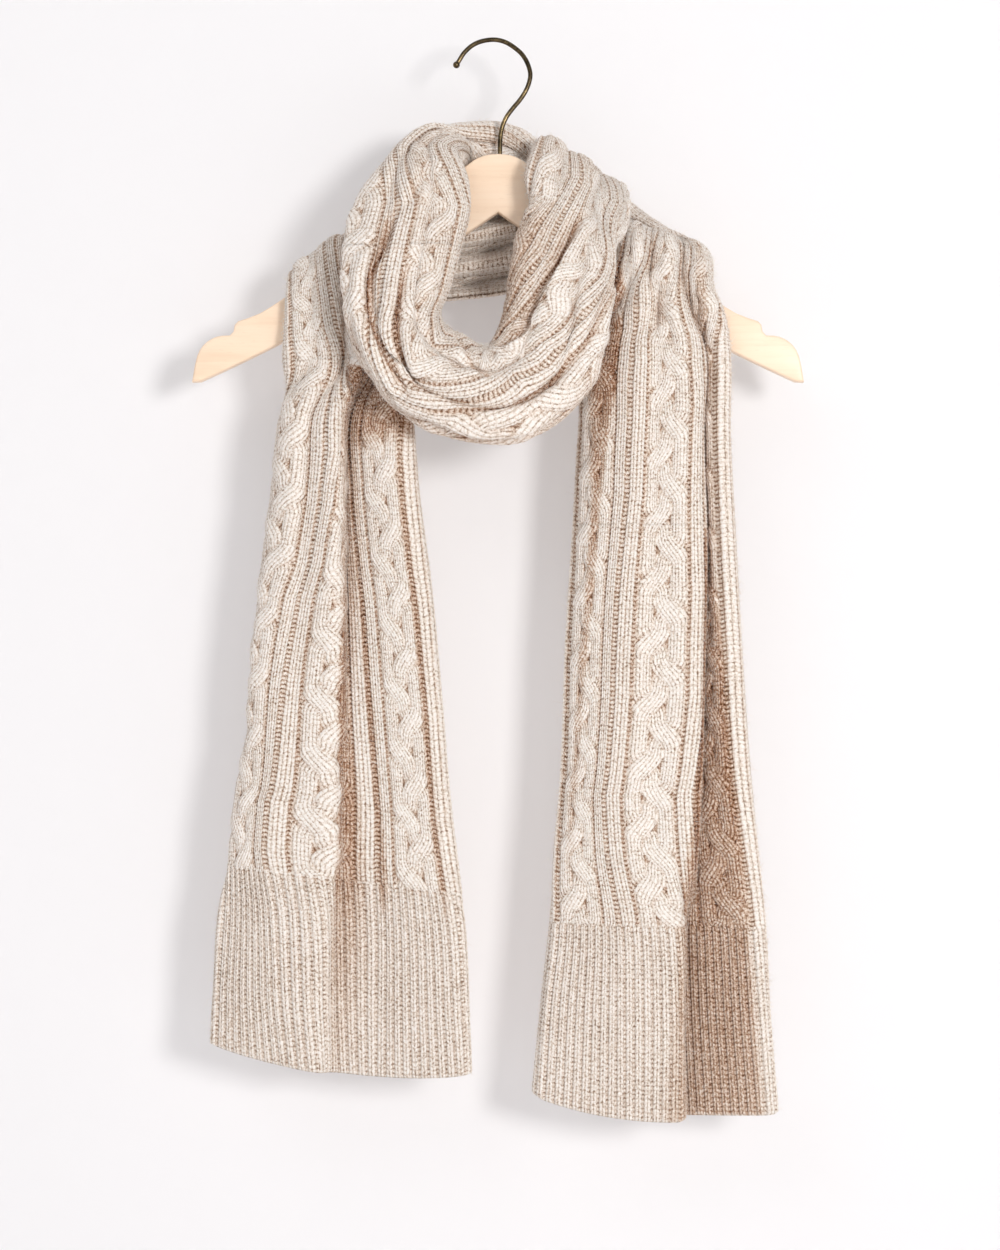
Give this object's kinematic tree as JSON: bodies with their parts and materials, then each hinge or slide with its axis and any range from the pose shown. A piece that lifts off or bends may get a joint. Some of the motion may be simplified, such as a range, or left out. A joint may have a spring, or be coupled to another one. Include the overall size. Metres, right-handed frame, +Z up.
{
  "type": "knit scarf on clothes hanger",
  "caption": "Chunky cable-knit scarf with ribbed ends, wound into a neck loop round a flat wooden clothes hanger with a wire hook, both ends hanging down in front.",
  "frame": {"origin": "inner top of the hanger's hook, where it rests on what holds it", "axes": "+Z up, -Y the front that is looked at, +X to the right as seen from the front"},
  "size_m": [0.4404, 0.1421, 0.7781],
  "materials": {
    "knit": "matte, heathered oatmeal wool-blend knit with a soft fuzzy nap",
    "wood": "satin clear-lacquered pale beech with eased edges",
    "wire": "darkened antique brass, satin"
  },
  "bodies": {
    "root": {"scarf_tail_left": "knit", "scarf_neck_back": "knit", "scarf_front_loop": "knit", "scarf_neck_top": "knit", "scarf_tail_right": "knit", "hanger_wood": "wood", "hanger_hook": "wire", "hanger_hook_tip": "wire"}
  },
  "joints": []
}
